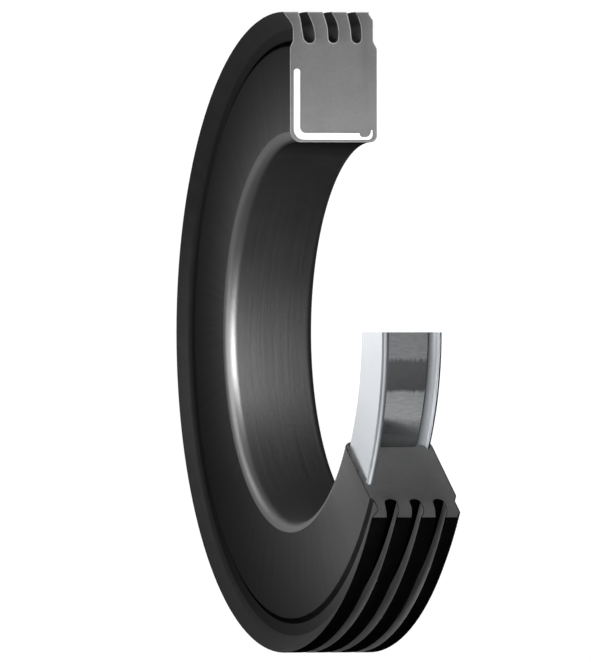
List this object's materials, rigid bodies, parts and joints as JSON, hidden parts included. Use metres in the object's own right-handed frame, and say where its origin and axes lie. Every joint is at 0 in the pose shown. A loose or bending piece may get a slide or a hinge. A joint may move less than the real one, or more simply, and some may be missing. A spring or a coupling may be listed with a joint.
{
  "type": "cutaway oil seal",
  "caption": "Rubber shaft seal shown cut open: plain bore, hooked sealing lips around the outside, and an L-section steel insert moulded in behind bore and front face.",
  "frame": {"origin": "on the seal's axis, in the plane of its flat back face", "axes": "+Z along the seal's axis towards the front face, which the outer lips hook towards; +X through the full cut face, where rubber and insert both start; the ring runs from there through +Y"},
  "size_m": [0.084, 0.0766, 0.0132],
  "materials": {
    "rubber": "moulded black rubber with a satin skin, matt grey where it is cut",
    "steel": "bright bare sheet, brushed around the ring"
  },
  "bodies": {
    "root": {"rubber_body": "rubber", "steel_insert": "steel"}
  },
  "joints": []
}
